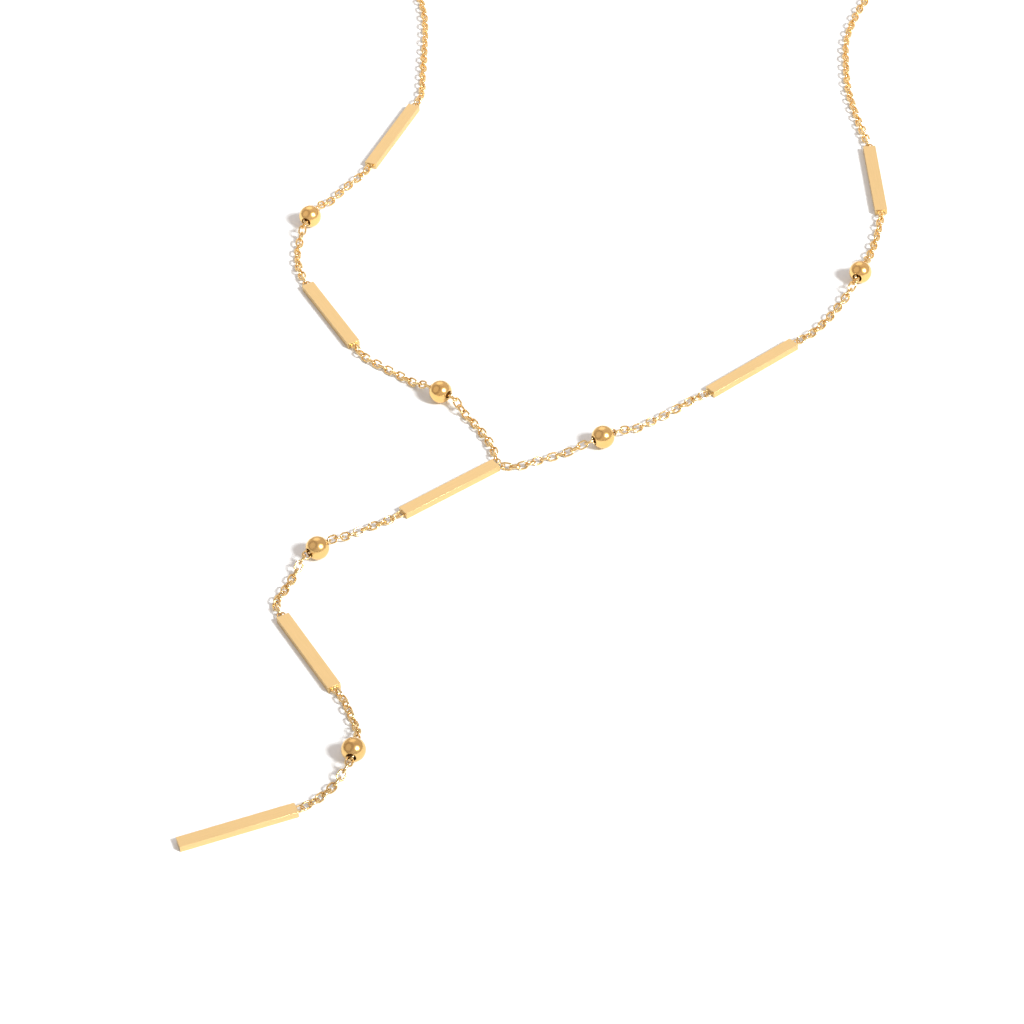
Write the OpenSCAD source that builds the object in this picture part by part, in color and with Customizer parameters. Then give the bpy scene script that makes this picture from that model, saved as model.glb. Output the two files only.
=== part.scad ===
// Y necklace of flat bars, ball beads and fine cable chain, lying on a table.
// Units are millimetres. The table is z = 0 and the drop points towards -Y.

/* [Bars] */
// Length of each bar without its eyes, mm
bar_length = 15; // [12:0.5:20]
// Width of each bar, mm
bar_width = 1.75; // [1.3:0.05:2.4]
// Thickness of each bar, mm
bar_thickness = 0.9; // [0.7:0.05:1.4]
// Bevel on the long edges of each bar, mm
bar_bevel = 0.08; // [0.03:0.01:0.2]

/* [Eyes] */
// Outer diameter of each eye soldered to a bar's end, mm
eye_diameter = 1.24; // [1.1:0.02:1.6]
// Wire diameter of the eyes, mm
eye_wire = 0.22; // [0.18:0.01:0.24]

/* [Beads] */
// Diameter of each ball bead, mm
bead_diameter = 3.1; // [2.6:0.1:4]
// Diameter of the hole through each bead, mm
bore_diameter = 1.44; // [1.42:0.02:1.7]

/* [Chain] */
// Outer length of one link, mm
link_length = 1.7; // [1.5:0.02:2.2]
// Outer width of one link, mm
link_width = 1.2; // [1.06:0.02:1.22]
// Wire diameter of the links, mm
link_wire = 0.22; // [0.18:0.01:0.24]
// Least room between the wires of two joined links, mm
link_play = 0.17; // [0.13:0.01:0.2]

/* [Clasp] */
// Outer diameter of the round clasp, mm
clasp_diameter = 6; // [5:0.5:9]
// Thickness of the clasp's ring, mm
clasp_wire = 1.1; // [0.9:0.05:1.6]

/* [Hidden] */

gold = [0.93, 0.74, 0.42];
polished_gold = [0.90, 0.68, 0.30];

wire_sides = 48;
round_sides = 96;

// Directions in which the bars lie, degrees from +X
centre_turn = 32.4;
drop_mid_turn = 115.1;
drop_end_turn = 16.4;
left_low_turn = 114.2;
left_high_turn = 63;
right_low_turn = 35.4;
right_high_turn = 89.6;

// One run of chain between two eyes, in mm from its first eye:
// points before the bead, the bead's place, the bore's direction, points after it, the last eye
left_low_run = [[[-0.4, 2.9], [-1.9, 6.7], [-3.9, 10.3]], [-6.8, 13.9], 140,
    [[-11.1, 18.1], [-14.5, 21.3], [-17.1, 24]], [-18.15, 26.25]];
left_high_run = [[[-0.6, 1.7], [-1.15, 4.6], [-1.15, 7.8], [-0.6, 10.4]], [0.8, 14.05], 65,
    [[3.95, 18.75], [6.5, 22.1], [8.6, 24.3]], [9.5, 25.93]];
right_low_run = [[[1, -0.5], [2.8, -0.4], [5.3, 0.5], [8.6, 1.4]], [13.8, 2.9], 25,
    [[19.4, 5.8], [22.8, 7.8], [26.1, 10]], [28.5, 11.3]];
right_high_run = [[[2.25, 1.5], [4.65, 4.2], [7, 7.5]], [10.3, 12.75], 64,
    [[12.45, 18.15], [13.85, 22.2]], [14.95, 26.65]];
drop_high_run = [[[-2, -1.3], [-5.6, -2.7]], [-10.9, -6.4], 218,
    [[-14.1, -10.3], [-15.3, -12.8], [-16.5, -15.2]], [-15.8, -17.45]];
drop_low_run = [[[1, -2.2], [1.8, -5], [2.5, -7.8]], [2, -11.7], 256,
    [[0.1, -15.7], [-1.8, -17.9], [-3.4, -19.3]], [-4.75, -19.95]];

// Chain above the upper bars, in mm from the bar's eye; the last point is its loose end
left_neck_run = [[1, 2.3], [1.35, 6.9], [1.75, 12.15], [2.15, 18.15], [2.15, 23.65], [1.55, 28.15]];
right_neck_run = [[-0.45, 3.4], [-1, 8.5], [-1.35, 14], [-1, 20], [-0.2, 26.2],
    [1.8, 32.2], [4.4, 37.4]];

// Back of the loop: points from the loose end of each neck chain, then points from the clasp
left_back_start = [[-0.8, 11.6], [-1, 25]];
left_back_end = [[-41.1, -16.6], [-27.9, -3.4], [-13, 1.3]];
right_back_start = [[1.7, 19]];
right_back_end = [[26.1, -34.6], [21.3, -16.6], [8.1, -3.4]];
// Clasp's place from the middle between the two loose ends, and its direction
clasp_place = [10.9, 68.9];
clasp_turn = -16;

// How far an eye is sunk into the metal that it is soldered to
solder = 0.1;
// Room between an eye and the link wire that passes under it
eye_room = 0.165;
// Share of their wire by which the two eyes on one end overlap
twin_overlap = 0.75;
// Length of straight chain held in line outside a bead's hole
bead_lead = 0.45;
// Sloping part of the chain beside a bead, and beside an eye
bead_slope = 3.5;
eye_slope = 3;
// Steep links beside an eye, and how many links it takes to lose the steepness
steep = 27;
steep_links = 4;
// Slow change of the links' roll along the chain and quick change from link to link, degrees
sway = 11;
sway_turn = 31;
jitter = 3;
jitter_turn = 137;
// Steps of the curve between two chosen points
curve_steps = 8;

// Sizes that follow from the ones above
link_straight = (link_length - link_width) / 2;
link_radius = (link_width - link_wire) / 2;
pitch_limit = link_length - 2 * link_wire - link_play;
eye_height = max(bar_thickness / 2, link_wire + eye_room + eye_wire / 2);
lie = link_radius * sin(45) + link_wire / 2;
steep_rise = link_radius * (sin(45 + steep) - sin(45));
eye_rise = max(0, eye_height - lie - steep_rise);
bead_radius = bead_diameter / 2;
bead_hold = bead_radius + bead_lead;
// From an end face to the centre of its eye, and from there to the joint with a link
eye_reach = (eye_diameter - eye_wire) / 2 - solder;
eye_joint = (eye_diameter - 2 * eye_wire - link_play) / 2;
// From the middle of the centre bar's end to each of the two eyes side by side on it
twin_offset = (eye_diameter - twin_overlap * eye_wire) / 2;
// The hidden chain's tube is as thick as the links that lie on their edges
tube_diameter = 2 * lie + link_wire / 4;
tube_sides = 8;
tube_step = 2.5 * tube_diameter;
tube_gap = 1.5 * link_wire + link_play;

function turned(a) = [cos(a), sin(a)];
function flat(p) = [p[0], p[1]];
function heading(p) = atan2(p[1], p[0]);
function shifted(list, by) = [for (p = list) p + by];
function clamped(v) = min(1, max(0, v));
function ease(v) = (1 - cos(180 * clamped(v))) / 2;

// Smooth curve through points[1] to points[n - 2]; the outer two only steer its ends
function between(a, b, c, d, t) =
    0.5 * (2 * b + (c - a) * t + (2 * a - 5 * b + 4 * c - d) * t * t
        + (3 * b - a - 3 * c + d) * t * t * t);
function curve(points) = concat(
    [for (i = [1:len(points) - 3]) for (k = [0:curve_steps - 1])
        between(points[i - 1], points[i], points[i + 1], points[i + 2], k / curve_steps)],
    [points[len(points) - 2]]);

// Length along a line of points up to each of them, and the point at one such length
function lengths(line) =
    [for (i = 0, s = 0; i < len(line);
        i = i + 1, s = i < len(line) ? s + norm(line[i] - line[i - 1]) : s) s];
function along(line, marks, s) =
    let (i = max([for (k = [0:len(marks) - 2]) if (marks[k] <= s || k == 0) k]),
        t = (s - marks[i]) / (marks[i + 1] - marks[i]))
    line[i] + t * (line[i + 1] - line[i]);

// Plan of a run through a bead, from its first eye to its last
function run_plan(start, run) =
    let (bead = start + run[1],
        axis = turned(run[2]),
        last = start + run[4],
        before = shifted(run[0], start),
        after = shifted(run[3], start))
    concat(
        curve(concat([2 * start - before[0], start], before, [bead - bead_hold * axis, bead])),
        curve(concat([bead, bead + bead_hold * axis], after,
            [last, 2 * last - after[len(after) - 1]])));

// Share of the bead's height, and of the eye's height, that the chain has at a point
function near_bead(p, bead) =
    is_undef(bead) ? 0 : 1 - ease((norm(flat(p) - bead) - bead_hold) / bead_slope);
function near_eye(s) = 1 - ease(s / eye_slope);

// The same line in space, resting on the table and rising to the eyes and the bead
function raised(plan, bead, open_end) =
    let (marks = lengths(plan),
        total = marks[len(marks) - 1])
    [for (i = [0:len(plan) - 1])
        let (k = near_bead(plan[i], bead),
            e = max(near_eye(marks[i]), open_end ? 0 : near_eye(total - marks[i])))
        [plan[i][0], plan[i][1], (1 - k) * (lie + e * eye_rise) + k * bead_radius]];

// Roll of link i of n: neighbours stand at right angles, the links in the eyes are steep
function from_first(i) = clamped(i / steep_links);
function from_last(i, n) = clamped((n - 1 - i) / steep_links);
function lean(i, n, open_end) =
    45 + steep * (1 - from_first(i))
    + (open_end ? 0 : (n % 2 == 1 ? 1 : -1) * steep * (1 - from_last(i, n)))
    + sway * sin(sway_turn * i) * from_first(i) * from_last(i, n);
function roll(i, n, open_end) =
    lean(i, n, open_end) + jitter * sin(jitter_turn * i) - (i % 2 == 1 ? 90 : 0);

// Joints of a run: points where two links cross, at equal steps along the line
function joints(line, first, last) =
    let (marks = lengths(line),
        total = marks[len(marks) - 1] - first - last,
        n = ceil(total / pitch_limit))
    [for (i = [0:n]) along(line, marks, first + total * i / n)];

// Place, roll and direction of each link of a run
function placed(points, bead, open_end) =
    let (n = len(points) - 1)
    [for (i = [0:n - 1])
        let (a = points[i],
            b = points[i + 1],
            middle = (a + b) / 2,
            turn = roll(i, n, open_end),
            step = b - a,
            rise = atan2(step[2], norm(flat(step))),
            steeper = max(abs(sin(turn)), abs(cos(turn))) - sin(45),
            free = 1 - near_bead(middle, bead),
            level = middle[2] + free * steeper * link_radius,
            lowest = link_straight * abs(sin(rise)) + link_wire / 2
                + link_radius * norm([sin(rise), cos(rise) * sin(turn)]))
        [[middle[0], middle[1], max(level, lowest)], [turn, -rise, heading(step)]]];

function run_links(start, run) =
    let (bead = start + run[1],
        line = raised(run_plan(start, run), bead, false))
    placed(joints(line, eye_joint, eye_joint), bead, false);

function neck_links(start, run) =
    let (points = shifted(run, start),
        plan = curve(concat([2 * start - points[0], start], points,
            [2 * points[len(points) - 1] - points[len(points) - 2]])),
        line = raised(plan, undef, true))
    placed(joints(line, eye_joint, 0), undef, true);

// The necklace is laid out from the middle between the two eyes that hold its strands
eye_span = bar_length + 2 * eye_reach;
bar_half = bar_length / 2;
left_eye = twin_offset * turned(centre_turn + 90);
right_eye = -left_eye;
centre_middle = -eye_span / 2 * turned(centre_turn);
centre_low_eye = -eye_span * turned(centre_turn);
drop_mid_top = centre_low_eye + drop_high_run[4];
drop_mid_low = drop_mid_top - eye_span * turned(drop_mid_turn);
drop_end_eye = drop_mid_low + drop_low_run[4];
left_low_start = left_eye + left_low_run[4];
left_low_end = left_low_start + eye_span * turned(left_low_turn);
left_high_start = left_low_end + left_high_run[4];
left_high_end = left_high_start + eye_span * turned(left_high_turn);
right_low_start = right_eye + right_low_run[4];
right_low_end = right_low_start + eye_span * turned(right_low_turn);
right_high_start = right_low_end + right_high_run[4];
right_high_end = right_high_start + eye_span * turned(right_high_turn);
left_loose = left_high_end + left_neck_run[len(left_neck_run) - 1];
right_loose = right_high_end + right_neck_run[len(right_neck_run) - 1];
clasp_middle = (left_loose + right_loose) / 2 + clasp_place;
clasp_span = clasp_diameter / 2 + eye_reach;

// Middle and direction of each bar
bars = [
    [centre_middle, centre_turn],
    [(drop_mid_top + drop_mid_low) / 2, drop_mid_turn],
    [drop_end_eye - eye_span / 2 * turned(drop_end_turn), drop_end_turn],
    [(left_low_start + left_low_end) / 2, left_low_turn],
    [(left_high_start + left_high_end) / 2, left_high_turn],
    [(right_low_start + right_low_end) / 2, right_low_turn],
    [(right_high_start + right_high_end) / 2, right_high_turn]];

// Route of the hidden chain from a loose end to the clasp's eye, and the rings along it
function back_route(neck, neck_start, loose, from_start, from_end, side) =
    let (before = neck_start + neck[len(neck) - 2],
        points = concat([before, loose], shifted(from_start, loose),
            shifted(from_end, clasp_middle),
            [clasp_middle + side * clasp_span * turned(clasp_turn), clasp_middle]))
    curve(points);
function ring_places(line) =
    let (marks = lengths(line),
        start = tube_gap,
        total = marks[len(marks) - 1] - start - eye_diameter / 2 - tube_gap / 2,
        n = ceil(total / tube_step))
    [for (i = [0:n]) along(line, marks, start + total * i / n)];
left_back = ring_places(back_route(left_neck_run, left_high_end, left_loose,
    left_back_start, left_back_end, -1));
right_back = ring_places(back_route(right_neck_run, right_high_end, right_loose,
    right_back_start, right_back_end, 1));

// Middle of the whole outline, which becomes the origin
bar_corners = [for (b = bars) for (u = [-1, 1]) for (v = [-1, 1])
    b[0] + u * bar_half * turned(b[1]) + v * bar_width / 2 * turned(b[1] + 90)];
reach_points = concat(bar_corners,
    [for (p = concat(left_back, right_back)) for (a = [0:90:270])
        p + tube_diameter / 2 * turned(a)],
    [for (a = [0:90:270]) clasp_middle + clasp_diameter / 2 * turned(a)]);
middle = [for (k = [0, 1])
    (min([for (p = reach_points) p[k]]) + max([for (p = reach_points) p[k]])) / 2];

module place(p) {
    translate([p[0] - middle[0], p[1] - middle[1], 0])
        children();
}

module ring(outer, wire) {
    rotate_extrude($fn = round_sides)
        translate([(outer - wire) / 2, 0])
            circle(d = wire, $fn = wire_sides);
}

module eye(along, across, height) {
    translate([along, across, height])
        ring(eye_diameter, eye_wire);
}

module bar(which, low_eyes, high_eyes) {
    w = bar_width / 2;
    t = bar_thickness;
    e = bar_bevel;
    place(bars[which][0])
        rotate([0, 0, bars[which][1]]) {
            rotate([90, 0, 90])
                translate([0, 0, -bar_half])
                    linear_extrude(height = bar_length)
                        polygon([[-w + e, 0], [w - e, 0], [w, e], [w, t - e],
                            [w - e, t], [-w + e, t], [-w, t - e], [-w, e]]);
            for (across = low_eyes)
                eye(-bar_half - eye_reach, across, eye_height);
            for (across = high_eyes)
                eye(bar_half + eye_reach, across, eye_height);
        }
}

module bead(start, run) {
    place(start + run[1])
        translate([0, 0, bead_radius])
            rotate([0, 90, run[2]])
                difference() {
                    sphere(d = bead_diameter, $fn = round_sides);
                    cylinder(d = bore_diameter, h = 2 * bead_diameter, center = true,
                        $fn = wire_sides);
                }
}

module link() {
    for (side = [0, 180])
        rotate([0, 0, side]) {
            translate([link_straight, 0, 0])
                rotate([0, 0, -90])
                    rotate_extrude(angle = 180, $fn = round_sides)
                        translate([link_radius, 0])
                            circle(d = link_wire, $fn = wire_sides);
            translate([-link_straight, link_radius, 0])
                rotate([0, 90, 0])
                    cylinder(d = link_wire, h = 2 * link_straight, $fn = wire_sides);
        }
}

module chain(links) {
    for (each_link = links)
        translate([each_link[0][0] - middle[0], each_link[0][1] - middle[1], each_link[0][2]])
            rotate(each_link[1])
                link();
}

module tube(rings) {
    last = len(rings) - 1;
    corners = [for (i = [0:last])
        let (before = rings[max(0, i - 1)],
            after = rings[min(last, i + 1)],
            across = turned(heading(after - before) + 90))
        for (k = [0:tube_sides - 1])
            let (a = 360 * k / tube_sides + 180 / tube_sides,
                r = tube_diameter / 2 / cos(180 / tube_sides),
                p = rings[i] - middle + r * cos(a) * across)
            [p[0], p[1], tube_diameter / 2 + r * sin(a)]];
    walls = [for (i = [0:last - 1]) for (k = [0:tube_sides - 1])
        let (next = (k + 1) % tube_sides)
        [i * tube_sides + k, i * tube_sides + next,
            (i + 1) * tube_sides + next, (i + 1) * tube_sides + k]];
    start_cap = [for (k = [tube_sides - 1:-1:0]) k];
    end_cap = [for (k = [0:tube_sides - 1]) last * tube_sides + k];
    polyhedron(points = corners, faces = concat(walls, [start_cap, end_cap]));
}

module bar_centre() { color(gold) bar(0, [0], [-twin_offset, twin_offset]); }
module bar_drop_mid() { color(gold) bar(1, [0], [0]); }
module bar_drop_end() { color(gold) bar(2, [], [0]); }
module bar_left_low() { color(gold) bar(3, [0], [0]); }
module bar_left_high() { color(gold) bar(4, [0], [0]); }
module bar_right_low() { color(gold) bar(5, [0], [0]); }
module bar_right_high() { color(gold) bar(6, [0], [0]); }

module bead_drop_high() { color(polished_gold) bead(centre_low_eye, drop_high_run); }
module bead_drop_low() { color(polished_gold) bead(drop_mid_low, drop_low_run); }
module bead_left_low() { color(polished_gold) bead(left_eye, left_low_run); }
module bead_left_high() { color(polished_gold) bead(left_low_end, left_high_run); }
module bead_right_low() { color(polished_gold) bead(right_eye, right_low_run); }
module bead_right_high() { color(polished_gold) bead(right_low_end, right_high_run); }

drop_high_links = run_links(centre_low_eye, drop_high_run);
drop_low_links = run_links(drop_mid_low, drop_low_run);
left_low_links = run_links(left_eye, left_low_run);
left_high_links = run_links(left_low_end, left_high_run);
right_low_links = run_links(right_eye, right_low_run);
right_high_links = run_links(right_low_end, right_high_run);
left_neck_links = neck_links(left_high_end, left_neck_run);
right_neck_links = neck_links(right_high_end, right_neck_run);

module chain_drop_high() { color(gold) chain(drop_high_links); }
module chain_drop_low() { color(gold) chain(drop_low_links); }
module chain_left_low() { color(gold) chain(left_low_links); }
module chain_left_high() { color(gold) chain(left_high_links); }
module chain_right_low() { color(gold) chain(right_low_links); }
module chain_right_high() { color(gold) chain(right_high_links); }
module chain_left_neck() { color(gold) chain(left_neck_links); }
module chain_right_neck() { color(gold) chain(right_neck_links); }

module chain_back_left() { color(gold) tube(left_back); }
module chain_back_right() { color(gold) tube(right_back); }

module clasp() {
    color(polished_gold)
        place(clasp_middle)
            rotate([0, 0, clasp_turn]) {
                translate([0, 0, clasp_wire / 2])
                    ring(clasp_diameter, clasp_wire);
                for (side = [-1, 1])
                    eye(side * clasp_span, 0, max(clasp_wire / 2, eye_height));
            }
}

bar_centre();
bar_drop_mid();
bar_drop_end();
bar_left_low();
bar_left_high();
bar_right_low();
bar_right_high();
bead_drop_high();
bead_drop_low();
bead_left_low();
bead_left_high();
bead_right_low();
bead_right_high();
chain_drop_high();
chain_drop_low();
chain_left_low();
chain_left_high();
chain_right_low();
chain_right_high();
chain_left_neck();
chain_right_neck();
chain_back_left();
chain_back_right();
clasp();
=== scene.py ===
import math

import bmesh
import bpy
import numpy as np
from mathutils import Matrix, Vector


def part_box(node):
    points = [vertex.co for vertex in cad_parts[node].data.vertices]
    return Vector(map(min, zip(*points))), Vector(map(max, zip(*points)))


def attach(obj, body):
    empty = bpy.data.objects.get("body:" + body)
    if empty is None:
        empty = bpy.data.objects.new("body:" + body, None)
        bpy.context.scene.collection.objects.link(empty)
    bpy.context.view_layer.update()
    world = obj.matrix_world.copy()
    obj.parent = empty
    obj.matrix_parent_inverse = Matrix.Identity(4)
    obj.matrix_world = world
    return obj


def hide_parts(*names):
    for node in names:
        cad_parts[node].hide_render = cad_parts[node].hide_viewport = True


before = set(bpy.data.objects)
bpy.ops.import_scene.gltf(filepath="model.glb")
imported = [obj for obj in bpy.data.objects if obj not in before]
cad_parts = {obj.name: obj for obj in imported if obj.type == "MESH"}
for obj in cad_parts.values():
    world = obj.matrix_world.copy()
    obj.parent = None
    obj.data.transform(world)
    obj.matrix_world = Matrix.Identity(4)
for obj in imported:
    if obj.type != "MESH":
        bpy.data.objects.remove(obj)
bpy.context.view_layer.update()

# Sizes of the necklace, in metres
MM = 0.001
BAR_LENGTH, BAR_WIDTH, BAR_THICKNESS = 15 * MM, 1.75 * MM, 0.9 * MM
BAR_ROUND, BAR_ROUND_STEPS = 0.02 * MM, 2
EYE_DIAMETER, EYE_WIRE, EYE_SUNK = 1.24 * MM, 0.22 * MM, 0.1 * MM
EYE_HEIGHT = 0.495 * MM
EYE_STEPS, EYE_SIDES = 48, 16
# How far the two eyes at the meeting point are off the bar's middle line
TWIN_OFFSET = 0.5375 * MM
# Reach of a mound of solder from its middle: along the bar, to each side and up
SOLDER_REACH = (0.1 * MM, 0.26 * MM, 0.17 * MM)
SOLDER_SEGMENTS, SOLDER_RINGS = 20, 12
BEAD_DIAMETER, BEAD_STEPS = 3.1 * MM, 96
# The hole shown is as narrow as the chain in it allows
SHOWN_BORE = 1.3 * MM
RIM_ROUND = 0.06 * MM
# Points on half of a bead's outline: along its bore, round its rim and over the ball
BORE_POINTS, RIM_POINTS, BALL_POINTS = 5, 7, 24
# A face no further out than this from the bore's wall is part of it
BORE_SLACK = 0.001 * MM
LINK_LENGTH, LINK_WIDTH, LINK_WIRE = 1.7 * MM, 1.2 * MM, 0.22 * MM
LINK_PLAY = 0.17 * MM
# The links shown nearly touch: they are shorter than their solids, and of thicker, flatter wire
SHOWN_LENGTH, SHOWN_WIRE, SHOWN_BREADTH = 1.66 * MM, 0.255 * MM, 0.30 * MM
LINK_STEPS, LINK_SIDES = 12, 12
# Points of a link's solid that are closer than this are one
WELD = 0.002 * MM

# Direction of each bar in degrees, and where its eyes sit across its two ends
BARS = {
    "bar_centre": (32.4, (0,), (-TWIN_OFFSET, TWIN_OFFSET)),
    "bar_drop_mid": (115.1, (0,), (0,)),
    "bar_drop_end": (16.4, (), (0,)),
    "bar_left_low": (114.2, (0,), (0,)),
    "bar_left_high": (63, (0,), (0,)),
    "bar_right_low": (35.4, (0,), (0,)),
    "bar_right_high": (89.6, (0,), (0,)),
}
# Direction of the hole through each bead, degrees
BEADS = {
    "bead_drop_high": 218,
    "bead_drop_low": 256,
    "bead_left_low": 140,
    "bead_left_high": 65,
    "bead_right_low": 25,
    "bead_right_high": 64,
}
CHAINS = (
    "chain_drop_high", "chain_drop_low", "chain_left_low", "chain_left_high",
    "chain_right_low", "chain_right_high", "chain_left_neck", "chain_right_neck",
)


# Meshes

def piece(name, verts, faces, finish):
    """A new piece of the necklace from its vertices and faces."""
    mesh = bpy.data.meshes.new(name)
    mesh.from_pydata([tuple(v) for v in verts], [], [tuple(f) for f in faces])
    mesh.update()
    mesh.shade_smooth()
    mesh.materials.append(finish)
    made = bpy.data.objects.new(name, mesh)
    bpy.context.scene.collection.objects.link(made)
    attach(made, "root")
    return made


def joined(parts):
    """One list of vertices and one of faces from several."""
    verts, faces, count = [], [], 0
    for v, f in parts:
        verts.append(np.asarray(v))
        faces.extend(tuple(i + count for i in face) for face in f)
        count += len(v)
    return np.vstack(verts), faces


def moved(verts, matrix):
    """The vertices as the matrix places them."""
    m = np.array(matrix)
    return np.asarray(verts) @ m[:3, :3].T + m[:3, 3]


def taken(work):
    """Vertices and faces of a working mesh, which is freed."""
    verts = [tuple(v.co) for v in work.verts]
    faces = [tuple(v.index for v in f.verts) for f in work.faces]
    work.free()
    return verts, faces


def swept(path, thickness, breadth, sides):
    """A wire along a closed path in the XY plane, as thick across the path and as broad in Z."""
    path = np.asarray(path)
    ahead = np.roll(path, -1, axis=0) - np.roll(path, 1, axis=0)
    ahead /= np.linalg.norm(ahead, axis=1)[:, None]
    out = np.stack([ahead[:, 1], -ahead[:, 0]], axis=1)
    angles = np.arange(sides) * 2 * math.pi / sides
    verts = np.zeros((len(path), sides, 3))
    for k, a in enumerate(angles):
        verts[:, k, :2] = path + thickness / 2 * math.cos(a) * out
        verts[:, k, 2] = breadth / 2 * math.sin(a)
    n = len(path)
    faces = [
        (i * sides + k, ((i + 1) % n) * sides + k,
         ((i + 1) % n) * sides + (k + 1) % sides, i * sides + (k + 1) % sides)
        for i in range(n) for k in range(sides)
    ]
    return verts.reshape(-1, 3), faces


def circle_path(radius, steps):
    """Points round a circle in the XY plane."""
    angles = [2 * math.pi * i / steps for i in range(steps)]
    return [(radius * math.cos(a), radius * math.sin(a)) for a in angles]


def link_path(steps):
    """Middle line of a link's wire: two half circles with straights between them."""
    half = (SHOWN_LENGTH - LINK_WIDTH) / 2
    radius = (LINK_WIDTH - SHOWN_WIRE) / 2
    path = []
    for side in (1, -1):
        for i in range(steps + 1):
            a = math.pi * (i / steps - 0.5)
            path.append((side * (half + radius * math.cos(a)), side * radius * math.sin(a)))
    return path


# Materials

# Noise is used between these two of its values
NOISE_RANGE = (0.3, 0.7)

# The bars: noise stretched along the bar, mixed with a share of larger patches
BRUSH_STRETCH, BRUSH_DETAIL = (350, 9000, 9000), 4
PATCH_SCALE, PATCH_DETAIL, PATCH_SHARE = 320, 2, 0.35
SATIN_DARK, SATIN_LIGHT = (0.74, 0.545, 0.258), (0.835, 0.612, 0.302)
SATIN_ROUGHNESS = (0.33, 0.41)
SATIN_BUMP, SATIN_BUMP_HEIGHT = 0.17, 0.01 * MM

# Polished gold gets darker towards the front, from one place in Y to the other
TONE_PLACES, TONES = (-120 * MM, 20 * MM), (0.76, 1.0)
POLISHED_BUMP = 0.3


def material(name):
    """A new material with its node tree and its shader."""
    made = bpy.data.materials.new(name)
    made.use_nodes = True
    tree = made.node_tree
    return made, tree, tree.nodes["Principled BSDF"]


def noise(tree, vector, scale, detail):
    """Noise of that scale and detail."""
    made = tree.nodes.new("ShaderNodeTexNoise")
    made.inputs["Scale"].default_value = scale
    made.inputs["Detail"].default_value = detail
    tree.links.new(vector, made.inputs["Vector"])
    return made.outputs["Fac"]


def ramp(tree, value, stops):
    """Colour by a value, from stops of value and colour."""
    made = tree.nodes.new("ShaderNodeValToRGB")
    first, last = made.color_ramp.elements
    last.position, last.color = stops[-1][0], (*stops[-1][1], 1)
    first.position, first.color = stops[0][0], (*stops[0][1], 1)
    for position, colour in stops[1:-1]:
        made.color_ramp.elements.new(position).color = (*colour, 1)
    tree.links.new(value, made.inputs["Fac"])
    return made.outputs["Color"]


def mapped(tree, value, source, target):
    """A value carried over from one range to another, and held at its ends."""
    made = tree.nodes.new("ShaderNodeMapRange")
    made.inputs["From Min"].default_value, made.inputs["From Max"].default_value = source
    made.inputs["To Min"].default_value, made.inputs["To Max"].default_value = target
    tree.links.new(value, made.inputs["Value"])
    return made.outputs["Result"]


def split(tree, vector, axis):
    """One coordinate of a vector."""
    made = tree.nodes.new("ShaderNodeSeparateXYZ")
    tree.links.new(vector, made.inputs["Vector"])
    return made.outputs[axis]


def finish_metal(tree, shader, colour, roughness, height, strength, distance):
    """Gives the shader of a metal its colour, its roughness and its bump."""
    bump = tree.nodes.new("ShaderNodeBump")
    bump.inputs["Strength"].default_value = strength
    bump.inputs["Distance"].default_value = distance
    tree.links.new(height, bump.inputs["Height"])
    tree.links.new(colour, shader.inputs["Base Color"])
    tree.links.new(roughness, shader.inputs["Roughness"])
    tree.links.new(bump.outputs["Normal"], shader.inputs["Normal"])
    shader.inputs["Metallic"].default_value = 1


def brushed_gold(name, turn):
    """Satin gold with fine brush lines along a bar that lies in that direction."""
    made, tree, shader = material(name)
    where = tree.nodes.new("ShaderNodeTexCoord").outputs["Object"]
    turned = tree.nodes.new("ShaderNodeMapping")
    turned.inputs["Rotation"].default_value = (0, 0, -math.radians(turn))
    tree.links.new(where, turned.inputs["Vector"])
    stretched = tree.nodes.new("ShaderNodeMapping")
    stretched.inputs["Scale"].default_value = BRUSH_STRETCH
    tree.links.new(turned.outputs["Vector"], stretched.inputs["Vector"])
    lines = noise(tree, stretched.outputs["Vector"], 1, BRUSH_DETAIL)
    patches = noise(tree, where, PATCH_SCALE, PATCH_DETAIL)
    both = tree.nodes.new("ShaderNodeMix")
    both.inputs["Factor"].default_value = PATCH_SHARE
    tree.links.new(lines, both.inputs["A"])
    tree.links.new(patches, both.inputs["B"])
    uneven = both.outputs["Result"]
    colour = ramp(tree, uneven, list(zip(NOISE_RANGE, (SATIN_DARK, SATIN_LIGHT))))
    roughness = mapped(tree, uneven, NOISE_RANGE, SATIN_ROUGHNESS)
    finish_metal(tree, shader, colour, roughness, lines, SATIN_BUMP, SATIN_BUMP_HEIGHT)
    return made


def polished_gold(name, dark, light, roughness, scale, detail, bump_height):
    """Polished gold, slightly uneven at the given scale, and darker towards the front."""
    made, tree, shader = material(name)
    where = tree.nodes.new("ShaderNodeTexCoord").outputs["Object"]
    uneven = noise(tree, where, scale, detail)
    toned = tree.nodes.new("ShaderNodeVectorMath")
    toned.operation = "SCALE"
    tree.links.new(ramp(tree, uneven, list(zip(NOISE_RANGE, (dark, light)))),
                   toned.inputs["Vector"])
    tree.links.new(mapped(tree, split(tree, where, "Y"), TONE_PLACES, TONES),
                   toned.inputs["Scale"])
    finish_metal(tree, shader, toned.outputs["Vector"],
                 mapped(tree, uneven, NOISE_RANGE, roughness), uneven, POLISHED_BUMP, bump_height)
    return made


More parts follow.
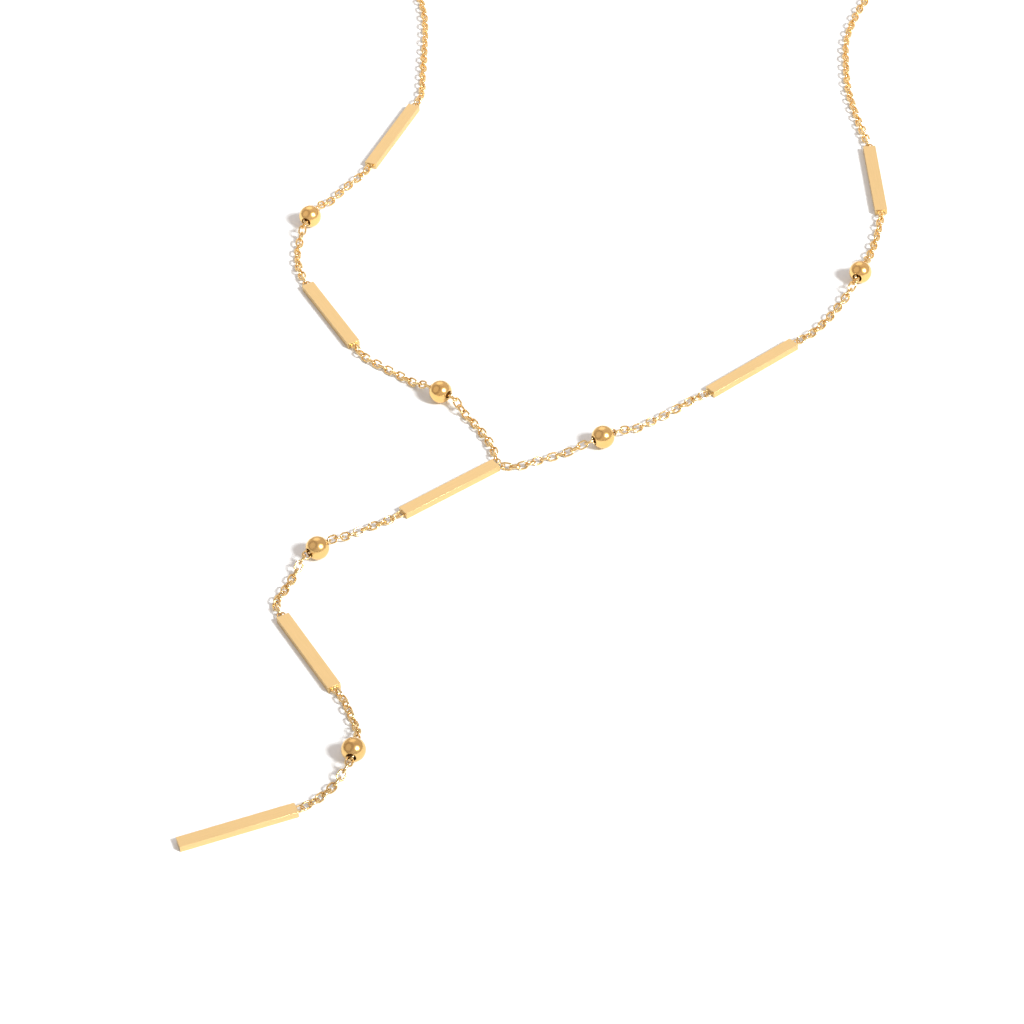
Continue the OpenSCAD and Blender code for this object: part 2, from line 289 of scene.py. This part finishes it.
BEAD_GOLD = polished_gold(
    "bead_gold", dark=(1.0, 0.63, 0.225), light=(1.0, 0.67, 0.265), roughness=(0.22, 0.26),
    scale=350, detail=1, bump_height=0.001 * MM)
# The bore's gold is darker than the ball's: it is painted shade inside the hole
PAINTED_SHADE_BORE_GOLD = polished_gold(
    "bore_gold_with_painted_shade", dark=(0.45, 0.29, 0.12), light=(0.76, 0.50, 0.21), roughness=(0.3, 0.5),
    scale=1500, detail=3, bump_height=0.01 * MM)
CHAIN_GOLD = polished_gold(
    "chain_gold", dark=(0.90, 0.63, 0.26), light=(1.0, 0.73, 0.36), roughness=(0.12, 0.22),
    scale=1600, detail=3, bump_height=0.006 * MM)
CLASP_GOLD = polished_gold(
    "clasp_gold", dark=(0.93, 0.60, 0.20), light=(0.98, 0.65, 0.25), roughness=(0.14, 0.22),
    scale=600, detail=3, bump_height=0.006 * MM)


# Bars

def bar_place(node, turn, low_eyes, high_eyes):
    """Matrix from a bar's own axes, X along it and Z up, to where the frame has it."""
    corners = np.array([v.co[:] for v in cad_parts[node].data.vertices])
    c, s = math.cos(math.radians(turn)), math.sin(math.radians(turn))
    along = corners[:, 0] * c + corners[:, 1] * s
    across = corners[:, 1] * c - corners[:, 0] * s
    eye_out = EYE_DIAMETER - EYE_SUNK
    low = along.min() + (eye_out if low_eyes else 0)
    high = along.max() - (eye_out if high_eyes else 0)
    x, y = (low + high) / 2, (across.min() + across.max()) / 2
    return (Matrix.Translation((x * c - y * s, x * s + y * c, 0))
            @ Matrix.Rotation(math.radians(turn), 4, "Z"))


def rounded_block(length, width, height, radius, steps):
    """A block standing on z = 0 with rounded edges."""
    work = bmesh.new()
    bmesh.ops.create_cube(work, size=1)
    for v in work.verts:
        v.co = Vector((v.co.x * length, v.co.y * width, (v.co.z + 0.5) * height))
    bmesh.ops.bevel(work, geom=list(work.edges), offset=radius, segments=steps,
                    profile=0.5, affect="EDGES")
    work.verts.ensure_lookup_table()
    return taken(work)


def solder_mound(along, side, up):
    """The little mound of solder where an eye meets the end of a bar."""
    work = bmesh.new()
    bmesh.ops.create_uvsphere(work, u_segments=SOLDER_SEGMENTS, v_segments=SOLDER_RINGS, radius=1)
    verts, faces = taken(work)
    return [(x * along, y * side, z * up) for x, y, z in verts], faces


def bar_piece(node, turn, low_eyes, high_eyes):
    """A bar with its eyes and their solder."""
    parts = [rounded_block(BAR_LENGTH, BAR_WIDTH, BAR_THICKNESS, BAR_ROUND, BAR_ROUND_STEPS)]
    eye_radius = (EYE_DIAMETER - EYE_WIRE) / 2
    eye = swept(circle_path(eye_radius, EYE_STEPS), EYE_WIRE, EYE_WIRE, EYE_SIDES)
    eye_at = BAR_LENGTH / 2 + eye_radius - EYE_SUNK
    mound = solder_mound(*SOLDER_REACH)
    for end, eyes in ((-1, low_eyes), (1, high_eyes)):
        for across in eyes:
            for (verts, faces), along in ((eye, eye_at), (mound, BAR_LENGTH / 2)):
                place = Matrix.Translation((end * along, across, EYE_HEIGHT))
                parts.append((moved(verts, place), faces))
    verts, faces = joined(parts)
    made = piece("gold_" + node, moved(verts, bar_place(node, turn, low_eyes, high_eyes)), faces,
                 brushed_gold("gold_of_" + node, turn))
    made.modifiers.new("crisp", "WEIGHTED_NORMAL").keep_sharp = True
    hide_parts(node)


for node, (turn, low_eyes, high_eyes) in BARS.items():
    bar_piece(node, turn, low_eyes, high_eyes)


# Beads

def bead_outline(ball, bore):
    """Closed outline of a drilled ball, as points of distance from the hole's axis and along it."""
    rim = math.sqrt(ball ** 2 - bore ** 2)
    rim_angle = math.asin(bore / ball) + RIM_ROUND / ball
    start = np.array([bore, rim - RIM_ROUND])
    corner = np.array([bore, rim])
    end = np.array([ball * math.sin(rim_angle), ball * math.cos(rim_angle)])
    outline = [np.array([bore, z]) for z in np.linspace(0, rim - RIM_ROUND, BORE_POINTS)[:-1]]
    for t in np.linspace(0, 1, RIM_POINTS):
        outline.append((1 - t) ** 2 * start + 2 * t * (1 - t) * corner + t ** 2 * end)
    for a in np.linspace(rim_angle, math.pi / 2, BALL_POINTS)[1:]:
        outline.append(np.array([ball * math.sin(a), ball * math.cos(a)]))
    return outline + [p * (1, -1) for p in reversed(outline[:-1])][:-1]


def bead_piece(node, turn):
    """A drilled ball with a softly rounded rim round each hole, its bore in a darker gold that is
    painted shade.
    """
    bore = SHOWN_BORE / 2
    outline = bead_outline(BEAD_DIAMETER / 2, bore)
    steps, count = BEAD_STEPS, len(outline)
    verts, faces, painted_shade_faces = [], [], []
    for i in range(steps):
        a = 2 * math.pi * i / steps
        verts += [(r * math.cos(a), r * math.sin(a), z) for r, z in outline]
    for i in range(steps):
        for k in range(count):
            j, m = (i + 1) % steps, (k + 1) % count
            faces.append((i * count + k, i * count + m, j * count + m, j * count + k))
            painted_shade_faces.append(max(outline[k][0], outline[m][0]) < bore + BORE_SLACK)
    low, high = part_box(node)
    place = (Matrix.Translation((Vector(low) + Vector(high)) / 2)
             @ Matrix.Rotation(math.radians(turn), 4, "Z") @ Matrix.Rotation(math.pi / 2, 4, "Y"))
    made = piece("gold_" + node, moved(verts, place), faces, BEAD_GOLD)
    # The faces of the bore take the darker gold, which paints the shade in the hole
    made.data.materials.append(PAINTED_SHADE_BORE_GOLD)
    made.data.polygons.foreach_set("material_index", np.array(painted_shade_faces, dtype=np.int32))
    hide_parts(node)


for node, turn in BEADS.items():
    bead_piece(node, turn)


# Links

LINK = swept(link_path(LINK_STEPS), SHOWN_WIRE, SHOWN_BREADTH, LINK_SIDES)


def link_places(node):
    """Place of each link of a chain node, read from its loose solids: X along the link."""
    work = bmesh.new()
    work.from_mesh(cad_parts[node].data)
    bmesh.ops.remove_doubles(work, verts=work.verts, dist=WELD)
    seen, places = set(), []
    for first in work.verts:
        if first in seen:
            continue
        seen.add(first)
        reached, group = [first], []
        while reached:
            v = reached.pop()
            group.append(v.co[:])
            for e in v.link_edges:
                other = e.other_vert(v)
                if other not in seen:
                    seen.add(other)
                    reached.append(other)
        points = np.array(group)
        middle = (points.min(axis=0) + points.max(axis=0)) / 2
        axes = np.linalg.svd(points - points.mean(axis=0), full_matrices=False)[2]
        along, across = Vector(axes[0]), Vector(axes[1])
        places.append(Matrix((
            (*along, 0), (*across, 0), (*along.cross(across), 0), (*middle, 1))).transposed())
    work.free()
    return places


def chain_piece(name, places, *nodes):
    """A link at each of the places, all in one piece."""
    verts, faces = joined([(moved(LINK[0], place), LINK[1]) for place in places])
    made = piece(name, verts, faces, CHAIN_GOLD)
    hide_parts(*nodes)


LINKS = {node: link_places(node) for node in CHAINS}
for node, places in LINKS.items():
    chain_piece("links_of_" + node, places, node)


# Clasp

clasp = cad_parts["clasp"]
clasp.data.materials.clear()
clasp.data.materials.append(CLASP_GOLD)


# Hidden chain, on the route that its plain solid has, in millimetres

BACK_ROUTES = {
    "chain_back_left": [
        (-17.39, 49.26), (-17.99, 53.76), (-18.79, 65.36), (-18.99, 78.76),
        (-14.27, 101.34), (-1.07, 114.54), (13.83, 119.24), (23.55, 118.88), (26.83, 117.94)],
    "chain_back_right": [
        (47.24, 39.13), (49.84, 44.33), (51.54, 63.33),
        (52.93, 83.34), (48.13, 101.34), (34.93, 114.54), (30.10, 117.00), (26.83, 117.94)],
}
ROUTE_STEPS = 24
# Height of a link's middle where it leans evenly
LINK_LIE = 0.4565 * MM
# Turns about a link's own length, in degrees. Links lean to one side and the other by turns. Next
# to the clasp a few of them turn further, so that they stand steeper and lie flatter by turns.
# Along the way they sway and jitter a little.
LEAN, STEEP, STEEP_LINKS = 45, 27, 4
SWAY, SWAY_TURN, JITTER, JITTER_TURN = 11, 31, 3, 137


def smooth_line(points, steps):
    """Smooth curve through all points but the outer two, which steer its ends."""
    points = [np.array(p) for p in points]
    line = []
    for a, b, c, d in zip(points, points[1:], points[2:], points[3:]):
        for t in np.arange(steps) / steps:
            line.append(0.5 * (2 * b + (c - a) * t + (2 * a - 5 * b + 4 * c - d) * t * t
                               + (3 * b - a - 3 * c + d) * t ** 3))
    return np.array(line + [points[-2]])


def normal(place):
    """Direction across the flat of a link."""
    return place.to_3x3() @ Vector((0, 0, 1))


def link_turn(i, count, parity):
    """Turn of a hidden link about its own length, counted from the clasp."""
    calm = min(1, i / STEEP_LINKS)
    before_neck = min(1, (count - 1 - i) / STEEP_LINKS)
    return math.radians(
        LEAN + STEEP * (1 - calm)
        + SWAY * math.sin(math.radians(SWAY_TURN * i)) * calm * before_neck
        + JITTER * math.sin(math.radians(JITTER_TURN * i)) - 90 * ((i + parity) % 2))


def back_links(route, last_visible):
    """Links along the hidden route, from the clasp's eye to the last visible link."""
    line = smooth_line(route, ROUTE_STEPS)[::-1] * MM
    marks = np.concatenate([[0], np.cumsum(np.linalg.norm(np.diff(line, axis=0), axis=1))])
    first = (EYE_DIAMETER - 2 * EYE_WIRE - LINK_PLAY) / 2
    total = marks[-1] - first
    count = math.ceil(total / (LINK_LENGTH - 2 * LINK_WIRE - LINK_PLAY))
    at = first + total * np.arange(count + 1) / count
    joints = np.stack([np.interp(at, marks, line[:, k]) for k in (0, 1)], axis=1)
    radius = (LINK_WIDTH - LINK_WIRE) / 2
    tries = []
    for parity in (0, 1):
        places = []
        for i in range(count):
            turn = link_turn(i, count, parity)
            middle = (joints[i] + joints[i + 1]) / 2
            step = joints[i + 1] - joints[i]
            steeper = max(abs(math.sin(turn)), abs(math.cos(turn))) - math.sin(math.pi / 4)
            height = max(LINK_LIE + steeper * radius,
                         LINK_WIRE / 2 + radius * abs(math.sin(turn)))
            places.append(Matrix.Translation((*middle, height))
                          @ Matrix.Rotation(math.atan2(step[1], step[0]), 4, "Z")
                          @ Matrix.Rotation(turn, 4, "X"))
        tries.append(places)
    return min(tries, key=lambda places: abs(normal(places[-1]).dot(normal(last_visible))))


def nearest(places, point):
    """The link nearest to a point of the route."""
    target = Vector((point[0] * MM, point[1] * MM, LINK_LIE))
    return min(places, key=lambda place: (place.translation - target).length)


for node, route in BACK_ROUTES.items():
    neck = LINKS[node.replace("back_left", "left_neck").replace("back_right", "right_neck")]
    chain_piece("links_of_" + node, back_links(route, nearest(neck, route[1])), node)


# Floor

FLOOR_REACH, FLOOR_SUNK = 1.5, -0.02 * MM
PAPER = (0.87, 0.925, 0.95)
floor_corners = [(x * FLOOR_REACH, y * FLOOR_REACH, FLOOR_SUNK)
                 for x, y in ((-1, -1), (1, -1), (1, 1), (-1, 1))]
floor_mesh = bpy.data.meshes.new("floor")
floor_mesh.from_pydata(floor_corners, [], [(0, 1, 2, 3)])
floor = bpy.data.objects.new("floor", floor_mesh)
bpy.context.scene.collection.objects.link(floor)
paper, _, paper_shader = material("white_paper")
paper_shader.inputs["Base Color"].default_value = (*PAPER, 1)
paper_shader.inputs["Roughness"].default_value = 1
paper_shader.inputs["Specular IOR Level"].default_value = 0
floor_mesh.materials.append(paper)


# Lamps

LAMPS_POINT_AT = Vector((-0.010, -0.065, 0))


def lamp(name, direction, distance, size, radiance):
    """A round lamp of that size and radiance which shines on the necklace."""
    data = bpy.data.lights.new(name, "AREA")
    data.shape = "DISK"
    data.size = size
    data.energy = radiance * math.pi * math.pi * (size / 2) ** 2
    made = bpy.data.objects.new(name, data)
    towards = Vector(direction).normalized()
    made.location = LAMPS_POINT_AT + distance * towards
    made.rotation_euler = towards.to_track_quat("Z", "Y").to_euler()
    bpy.context.scene.collection.objects.link(made)


lamp("key", (0.605, -0.468, 0.644), distance=2.5, size=0.58, radiance=96)
lamp("back", (-0.03, 0.73, 0.67), distance=2.0, size=1.5, radiance=0.62)


# Sky, which the beads mirror

world = bpy.data.worlds.new("studio")
bpy.context.scene.world = world
world.use_nodes = True
sky = world.node_tree
background = sky.nodes["Background"]
sky_where = sky.nodes.new("ShaderNodeTexCoord").outputs["Generated"]


def round_panel(direction, stops):
    """Colour by the distance from a direction in the sky, from stops of distance and colour."""
    off = sky.nodes.new("ShaderNodeVectorMath")
    off.operation = "DISTANCE"
    off.inputs[1].default_value = direction
    sky.links.new(sky_where, off.inputs[0])
    return ramp(sky, off.outputs["Value"], stops)


# A large panel at the left with a darker border
PANEL_AT = (-0.685, -0.168, 0.709)
PANEL, BORDER, PLAIN = (0.78, 0.69, 0.65), (0.43, 0.36, 0.33), (0.74, 0.65, 0.615)
panel = round_panel(PANEL_AT, ((0.46, PANEL), (0.56, BORDER), (0.70, BORDER), (0.88, PLAIN)))

# A slightly darker ring round the key lamp
RING_AT = (0.60, -0.40, 0.69)
RING, UNCHANGED = (0.76, 0.73, 0.71), (1.0, 1.0, 1.0)
ring = round_panel(RING_AT, ((0.28, UNCHANGED), (0.42, RING), (0.62, RING), (0.78, UNCHANGED)))

sky_tint = sky.nodes.new("ShaderNodeMix")
sky_tint.data_type = "RGBA"
sky_tint.blend_type = "MULTIPLY"
sky_tint.inputs["Factor"].default_value = 1
sky.links.new(panel, sky_tint.inputs["A"])
sky.links.new(ring, sky_tint.inputs["B"])
sky.links.new(sky_tint.outputs["Result"], background.inputs["Color"])

# The sky brightens from the horizon up
RISE_HEIGHTS, RISE_STRENGTHS = (0.0, 0.22), (0.45, 1.0)
sky.links.new(mapped(sky, split(sky, sky_where, "Z"), RISE_HEIGHTS, RISE_STRENGTHS),
              background.inputs["Strength"])


# Camera

CAMERA_AT = Vector((-10.05, -450.669, 348.96)) * MM
CAMERA_DOWN, CAMERA_ROLL = math.radians(42.12369), math.radians(-4.543)
LENS_PIXELS, FRAME_PIXELS, SENSOR = 3973.77, 1024, 36
ahead = Vector((0, math.cos(CAMERA_DOWN), -math.sin(CAMERA_DOWN)))
level, above = Vector((1, 0, 0)), Vector((0, math.sin(CAMERA_DOWN), math.cos(CAMERA_DOWN)))
right = math.cos(CAMERA_ROLL) * level + math.sin(CAMERA_ROLL) * above
up = -math.sin(CAMERA_ROLL) * level + math.cos(CAMERA_ROLL) * above
camera_data = bpy.data.cameras.new("camera")
camera_data.sensor_width = SENSOR
camera_data.lens = SENSOR * LENS_PIXELS / FRAME_PIXELS
camera_data.clip_start, camera_data.clip_end = 0.01, 10
camera = bpy.data.objects.new("camera", camera_data)
camera.matrix_world = Matrix((
    (*right, 0), (*up, 0), (*-ahead, 0), (*CAMERA_AT, 1))).transposed()
bpy.context.scene.collection.objects.link(camera)
bpy.context.scene.camera = camera
bpy.context.scene.view_settings.view_transform = "Standard"
